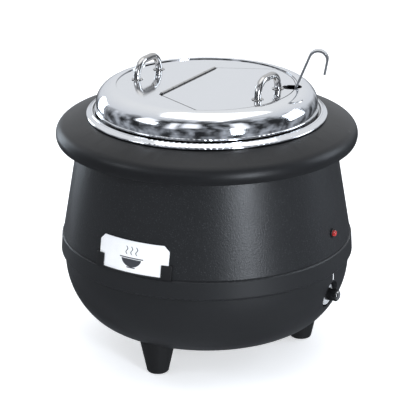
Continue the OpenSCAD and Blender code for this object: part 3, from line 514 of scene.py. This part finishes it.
# What counts as one point, as one flat face and as a sharp edge on a fixed piece
MERGE_REACH = 0.000002
FLAT_ANGLE = math.radians(0.5)
SHARP_ANGLE = math.radians(38)

SOFTENED = {
    # node: (edge radius, body, material slot, finish)
    "ladle_handle": (0.0006, "ladle", "polished_steel", "strap"),
    "ladle_bowl": (0.0004, "ladle", "polished_steel", "strap"),
    "label_holder": (0.0003, "housing", "black_plastic", "black"),
    "label_card": (0.0002, "card", "white_card", "card"),
    "foot_front": (0.0008, "housing", "black_plastic", "foot"),
    "foot_right": (0.0008, "housing", "black_plastic", "foot"),
    "foot_left": (0.0008, "housing", "black_plastic", "foot"),
    "cable_gland": (0.0005, "housing", "black_plastic", "black"),
    "dial_skirt": (0.0002, "knob_set", "dial_metal", "dial"),
    "knob_cap": (0.0003, "knob_set", "dial_metal", "bar"),
    "pilot_lamp_body": (0.0004, "housing", "black_plastic", "black"),
    "lid_handle_washers": (0.0003, "lid", "polished_steel", "bar"),
    "flap_handle_washers": (0.0003, "flap", "polished_steel", "bar"),
    "rim_collar": (0.0009, "housing", "collar_plastic", "collar"),
}


class KETTLE_OT_softened_edges(bpy.types.Operator):
    """Copies the fixed pieces that show sharp edges and rounds those edges"""
    bl_idname = "kettle.softened_edges"
    bl_label = "Softened edges"

    def execute(self, context):
        for node, (radius, body, slot, finish) in SOFTENED.items():
            deselect()
            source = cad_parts[node]
            piece = bpy.data.objects.new(node + "_soft", source.data.copy())
            context.collection.objects.link(piece)
            activate(piece)
            bpy.ops.mesh.customdata_custom_splitnormals_clear()
            bpy.ops.object.mode_set(mode="EDIT")
            bpy.ops.mesh.select_all(action="SELECT")
            bpy.ops.mesh.remove_doubles(threshold=MERGE_REACH)
            bpy.ops.mesh.dissolve_limited(angle_limit=FLAT_ANGLE)
            bpy.ops.object.mode_set(mode="OBJECT")
            round_off = piece.modifiers.new("Rounded edges", "BEVEL")
            round_off.width = radius
            round_off.segments = 3
            round_off.limit_method = "ANGLE"
            round_off.angle_limit = SHARP_ANGLE
            round_off.use_clamp_overlap = True
            apply_all(piece)
            set_material(piece, MATERIALS[finish])
            smooth(piece, 32)
            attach(piece, body)
            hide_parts(node)
        return {"FINISHED"}


class KETTLE_OT_knob(bpy.types.Operator):
    """Models the ribbed knob"""
    bl_idname = "kettle.knob"
    bl_label = "Knob"

    def execute(self, context):
        sizes = context.scene.kettle_sizes
        skirt_r = (KNOB_HIGH.z - KNOB_LOW.z) / 2
        inset = 0.0006
        grip_r = skirt_r - inset
        skirt_h = 0.0024
        crown = ((0.0007, 0.965), (0.0005, 0.90))   # rise and shrink of each step of the crown
        crown_h = sum(rise for rise, shrink in crown)
        deselect()
        bpy.ops.mesh.primitive_cylinder_add(
            vertices=sizes.knob_ribs * 4, radius=skirt_r, depth=skirt_h,
            location=(KNOB_LOW.x + skirt_h / 2, 0, SHAFT_Z), rotation=(0, math.radians(90), 0))
        knob = context.object
        knob.name = "ribbed_knob"
        settle(knob)
        top = KNOB_LOW.x + skirt_h
        pick(knob, lambda f: f.normal.x > 0.9)
        bpy.ops.mesh.inset(thickness=inset)
        grip_h = KNOB_HIGH.x - top - crown_h
        bpy.ops.mesh.extrude_region_move(TRANSFORM_OT_translate={"value": (grip_h, 0, 0)})
        centre = (KNOB_HIGH.x, 0, SHAFT_Z)
        for rise, shrink in crown:
            bpy.ops.mesh.extrude_region_move(TRANSFORM_OT_translate={"value": (rise, 0, 0)})
            bpy.ops.transform.resize(value=(1, shrink, shrink), center_override=centre)
        bpy.ops.object.mode_set(mode="OBJECT")
        for vertex in knob.data.vertices:
            reach = Vector((vertex.co.y, vertex.co.z - SHAFT_Z))
            if vertex.co.x > top - 1e-5 and 0.8 * grip_r < reach.length < grip_r + 2e-5:
                turn = math.atan2(reach.y, reach.x) * sizes.knob_ribs
                keep = 1 - sizes.rib_depth * (0.5 - 0.5 * math.cos(turn)) / grip_r
                vertex.co.y *= keep
                vertex.co.z = SHAFT_Z + reach.y * keep
        set_material(knob, MATERIALS["knob"])
        smooth(knob, 30)
        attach(knob, "knob_set")
        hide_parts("knob")
        return {"FINISHED"}


class KETTLE_OT_index_mark(bpy.types.Operator):
    """Lays the painted index mark on the bowl over the dial"""
    bl_idname = "kettle.index_mark"
    bl_label = "Index mark"

    def execute(self, context):
        sizes = context.scene.kettle_sizes
        before_bowl_x = 0.19
        over_dial = 0.0085
        film = 0.00006
        deselect()
        bpy.ops.mesh.primitive_plane_add(size=1, location=(before_bowl_x, 0, DIAL_HIGH.z + over_dial),
                                         rotation=(0, math.radians(90), 0))
        mark = context.object
        mark.name = "index_mark"
        mark.scale = (sizes.mark_height, sizes.mark_width, 1)
        settle(mark)
        bpy.ops.object.mode_set(mode="EDIT")
        bpy.ops.mesh.select_all(action="SELECT")
        bpy.ops.mesh.subdivide(number_cuts=7)
        bpy.ops.object.mode_set(mode="OBJECT")
        wrap = mark.modifiers.new("Lay on bowl", "SHRINKWRAP")
        wrap.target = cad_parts["bowl_side"]
        wrap.wrap_method = "PROJECT"
        wrap.use_project_x = True
        wrap.use_negative_direction = True
        wrap.use_positive_direction = False
        wrap.offset = film * 4 / 3
        thick = mark.modifiers.new("Paint film", "SOLIDIFY")
        thick.thickness = film
        thick.offset = 1
        apply_all(mark)
        set_material(mark, MATERIALS["mark"])
        smooth(mark, 40)
        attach(mark, "housing")
        return {"FINISHED"}


# ---------------------------------------------------------------- studio

# Where the room is brightest, and its window panes: azimuth, height, half width, half height, in degrees
SKY_LEAN = (-0.30, 0.52, 0.80)
PANES = ((-42, 34, 9, 14), (-8, 30, 5, 16), (12, 38, 10, 12), (66, 30, 8, 16))
PANE_SHARPNESS = 9.0

# Each lamp: name, place, height it aims at over the middle, width, height, watts, colour
LIGHTS = (
    ("front_strip", (1.73, -1.0, 0.46), 0.2, 0.34, 1.0, 26, (0.86, 0.92, 1.0)),
    ("window_left", (-1.1, -1.5, 1.25), 0.25, 0.75, 0.45, 5, (0.86, 0.93, 1.0)),
    ("rim_left", (-1.7, 0.45, 0.35), 0.15, 0.5, 0.9, 7, (0.8, 0.9, 1.0)),
    ("rim_right", (1.5, 1.3, 0.8), 0.25, 0.8, 1.0, 13, (0.82, 0.9, 1.0)),
    ("top_soft", (0.0, 0.2, 2.2), 0.2, 1.8, 1.8, 9, (1, 1, 1)),
)

# Camera: place, degrees it looks down, degrees round the kettle, focal length in millimetres
CAMERA_PLACE = (1.013, -1.7546, 0.9118)
CAMERA_DOWN = 20.37
CAMERA_ROUND = 30
CAMERA_LENS = 163.4


# Upright light and dark patches of a room, blurred
def room_shadows(tree, direction):
    stretch = add(tree, "ShaderNodeMapping", {"Vector": direction, "Scale": (3.4, 3.4, 1.1)})
    cloud = add(tree, "ShaderNodeTexNoise", {
        "Vector": stretch.outputs["Vector"], "Scale": 1.5, "Detail": 2.0, "Roughness": 0.6})
    return ramp(tree, cloud.outputs["Fac"], [
        (0.38, grey(0.12)), (0.48, grey(0.6)), (0.56, grey(1.3)), (0.66, grey(2.2))])


# Soft-edged window panes on the camera's side of the room
def window_panes(tree, direction):
    split = add(tree, "ShaderNodeSeparateXYZ", {"Vector": direction})
    ahead = math_node(tree, "MULTIPLY", split.outputs["Y"], -1.0)
    azimuth = math_node(tree, "ARCTAN2", split.outputs["X"], ahead)
    height = math_node(tree, "ARCSINE", split.outputs["Z"])

    def within(angle, middle, half):
        off = math_node(tree, "ABSOLUTE", math_node(tree, "SUBTRACT", angle, math.radians(middle)))
        left = math_node(tree, "SUBTRACT", math.radians(half), off)
        return math_node(tree, "MULTIPLY_ADD", left, PANE_SHARPNESS, 0.5, clamp=True)

    shape = None
    for side, rise, half_w, half_h in PANES:
        pane = math_node(tree, "MULTIPLY", within(azimuth, side, half_w), within(height, rise, half_h))
        shape = pane if shape is None else math_node(tree, "MAXIMUM", shape, pane)
    return shape


def studio_floor():
    deselect()
    bpy.ops.mesh.primitive_plane_add(size=12, location=(0, 0, -0.0004))
    floor = bpy.context.object
    floor.name = "studio_floor"
    material, tree, shader, place = base_material("Pale floor")
    cloud = add(tree, "ShaderNodeTexNoise", {"Vector": place, "Scale": 3.0, "Detail": 3.0})
    tone = ramp(tree, cloud.outputs["Fac"], [
        (0.3, (0.90, 0.90, 0.905, 1)), (0.7, (0.93, 0.93, 0.93, 1))])
    tree.links.new(tone, shader.inputs["Base Color"])
    shader.inputs["Roughness"].default_value = 0.7
    shader.inputs["Specular IOR Level"].default_value = 0.1
    tree.links.new(tone, shader.inputs["Emission Color"])
    shader.inputs["Emission Strength"].default_value = 0.55
    set_material(floor, material)
    floor.visible_glossy = False


# Bright towards SKY_LEAN, dim and patchy away from it, with the window panes over both
def studio_world(scene):
    world = bpy.data.worlds.new("Studio")
    world.use_nodes = True
    tree = world.node_tree
    back = tree.nodes["Background"]
    direction = tree.nodes.new("ShaderNodeTexCoord").outputs["Generated"]
    lean = add(tree, "ShaderNodeVectorMath", {0: direction, 1: SKY_LEAN}, operation="DOT_PRODUCT")
    sky = ramp(tree, lean.outputs["Value"], [
        (0.0, (0.20, 0.215, 0.24, 1)), (0.40, (0.24, 0.255, 0.28, 1)), (0.60, (0.74, 0.77, 0.82, 1)),
        (1.0, (0.93, 0.945, 0.96, 1))])
    low = math_node(tree, "MULTIPLY_ADD", lean.outputs["Value"], -5.0, 3.0, clamp=True)
    dim = add(tree, "ShaderNodeMix", data_type="RGBA", blend_type="MULTIPLY")
    tree.links.new(low, dim.inputs["Factor"])
    tree.links.new(sky, dim.inputs["A"])
    tree.links.new(room_shadows(tree, direction), dim.inputs["B"])
    light = add(tree, "ShaderNodeMix", data_type="RGBA")
    tree.links.new(window_panes(tree, direction), light.inputs["Factor"])
    tree.links.new(dim.outputs["Result"], light.inputs["A"])
    light.inputs["B"].default_value = (1.35, 1.4, 1.5, 1.0)
    tree.links.new(light.outputs["Result"], back.inputs["Color"])
    back.inputs["Strength"].default_value = 1.0
    scene.world = world
    scene.view_settings.view_transform = "Standard"


def area_light(name, place, aim_z, width, height, watts, colour):
    deselect()
    bpy.ops.object.light_add(type="AREA", location=place)
    light = bpy.context.object
    light.name = name
    light.data.shape = "RECTANGLE"
    light.data.size = width
    light.data.size_y = height
    light.data.energy = watts
    light.data.color = colour
    towards = Vector((0, 0, aim_z)) - Vector(place)
    light.rotation_euler = towards.to_track_quat("-Z", "Y").to_euler()


def front_camera(scene):
    deselect()
    bpy.ops.object.camera_add(location=CAMERA_PLACE)
    camera = bpy.context.object
    camera.name = "front_camera"
    camera.rotation_mode = "XYZ"
    camera.rotation_euler = (math.radians(90 - CAMERA_DOWN), 0, math.radians(CAMERA_ROUND))
    camera.data.sensor_width = 36
    camera.data.lens = CAMERA_LENS
    camera.data.shift_x = 0.0028
    camera.data.clip_end = 50
    scene.camera = camera


class KETTLE_OT_studio(bpy.types.Operator):
    """Sets up the floor, the lights and the camera"""
    bl_idname = "kettle.studio"
    bl_label = "Studio"

    def execute(self, context):
        studio_floor()
        studio_world(context.scene)
        for values in LIGHTS:
            area_light(*values)
        front_camera(context.scene)
        return {"FINISHED"}


# ---------------------------------------------------------------- panel and registration

class KETTLE_PT_panel(bpy.types.Panel):
    """Soup kettle pieces"""
    bl_idname = "KETTLE_PT_panel"
    bl_label = "Soup Kettle"
    bl_space_type = "VIEW_3D"
    bl_region_type = "UI"
    bl_category = "Soup Kettle"

    def draw(self, context):
        layout = self.layout
        for key in KettleSizes.__annotations__:
            layout.prop(context.scene.kettle_sizes, key)
        for key in KettleFinish.__annotations__:
            layout.prop(context.scene.kettle_finish, key)
        for cls in STEPS:
            layout.operator(cls.bl_idname)


STEPS = (
    KETTLE_OT_finishes, KETTLE_OT_softened_edges, KETTLE_OT_knob, KETTLE_OT_index_mark,
    KETTLE_OT_studio,
)
CLASSES = (KettleSizes, KettleFinish) + STEPS + (KETTLE_PT_panel,)


def register():
    for cls in CLASSES:
        bpy.utils.register_class(cls)
    bpy.types.Scene.kettle_sizes = bpy.props.PointerProperty(type=KettleSizes)
    bpy.types.Scene.kettle_finish = bpy.props.PointerProperty(type=KettleFinish)


def unregister():
    del bpy.types.Scene.kettle_finish
    del bpy.types.Scene.kettle_sizes
    for cls in reversed(CLASSES):
        bpy.utils.unregister_class(cls)


def main():
    register()
    bpy.ops.kettle.finishes()
    bpy.ops.kettle.softened_edges()
    bpy.ops.kettle.knob()
    bpy.ops.kettle.index_mark()
    bpy.ops.kettle.studio()


if __name__ == "__main__":
    main()
